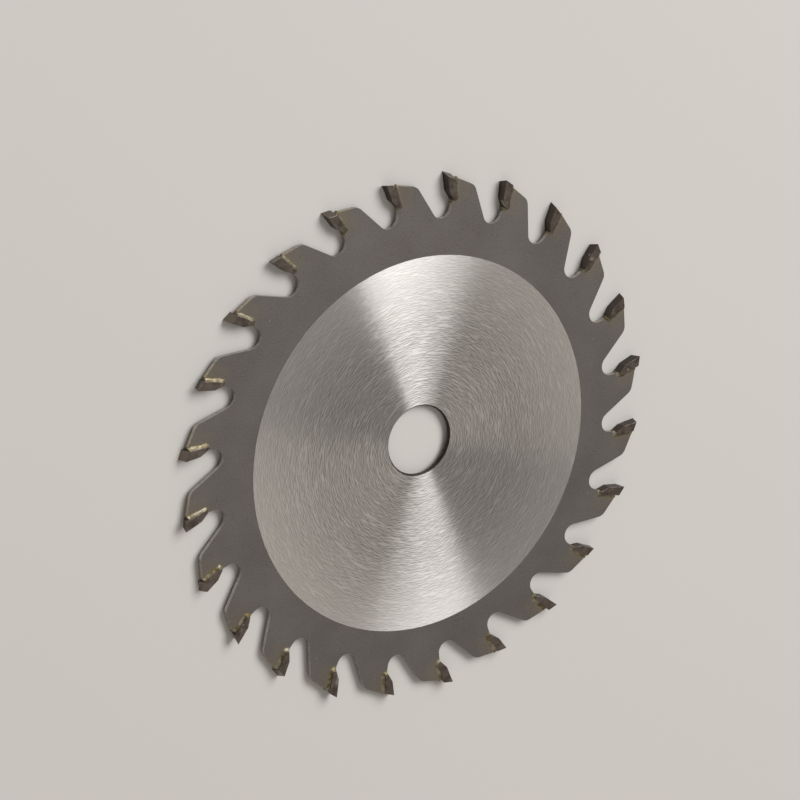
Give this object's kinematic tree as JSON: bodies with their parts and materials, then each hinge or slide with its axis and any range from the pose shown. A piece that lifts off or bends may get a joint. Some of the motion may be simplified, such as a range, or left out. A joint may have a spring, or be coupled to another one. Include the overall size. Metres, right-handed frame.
{
  "type": "circular saw blade",
  "caption": "Small flat circular saw blade with a plain round bore, hooked gullets and brazed carbide tips ground with alternating top bevels.",
  "frame": {"origin": "centre of the bore, halfway through the plate", "axes": "+Z along the arbor axis, out of the face from which the teeth cut counterclockwise; +Y through the cutting edge of tooth 1; the blade lies flat in XY"},
  "size_m": [0.0762, 0.0762, 0.0016],
  "materials": {
    "plate_steel": "brushed hub and blasted matte rim",
    "carbide": "fine ground",
    "braze_alloy": "as flowed, semi-bright"
  },
  "bodies": {
    "root": {"plate": "plate_steel", "tip_01": "carbide", "tip_02": "carbide", "tip_03": "carbide", "tip_04": "carbide", "tip_05": "carbide", "tip_06": "carbide", "tip_07": "carbide", "tip_08": "carbide", "tip_09": "carbide", "tip_10": "carbide", "tip_11": "carbide", "tip_12": "carbide", "tip_13": "carbide", "tip_14": "carbide", "tip_15": "carbide", "tip_16": "carbide", "tip_17": "carbide", "tip_18": "carbide", "tip_19": "carbide", "tip_20": "carbide", "tip_21": "carbide", "tip_22": "carbide", "tip_23": "carbide", "tip_24": "carbide", "braze_01": "braze_alloy", "braze_02": "braze_alloy", "braze_03": "braze_alloy", "braze_04": "braze_alloy", "braze_05": "braze_alloy", "braze_06": "braze_alloy", "braze_07": "braze_alloy", "braze_08": "braze_alloy", "braze_09": "braze_alloy", "braze_10": "braze_alloy", "braze_11": "braze_alloy", "braze_12": "braze_alloy", "braze_13": "braze_alloy", "braze_14": "braze_alloy", "braze_15": "braze_alloy", "braze_16": "braze_alloy", "braze_17": "braze_alloy", "braze_18": "braze_alloy", "braze_19": "braze_alloy", "braze_20": "braze_alloy", "braze_21": "braze_alloy", "braze_22": "braze_alloy", "braze_23": "braze_alloy", "braze_24": "braze_alloy"}
  },
  "joints": []
}
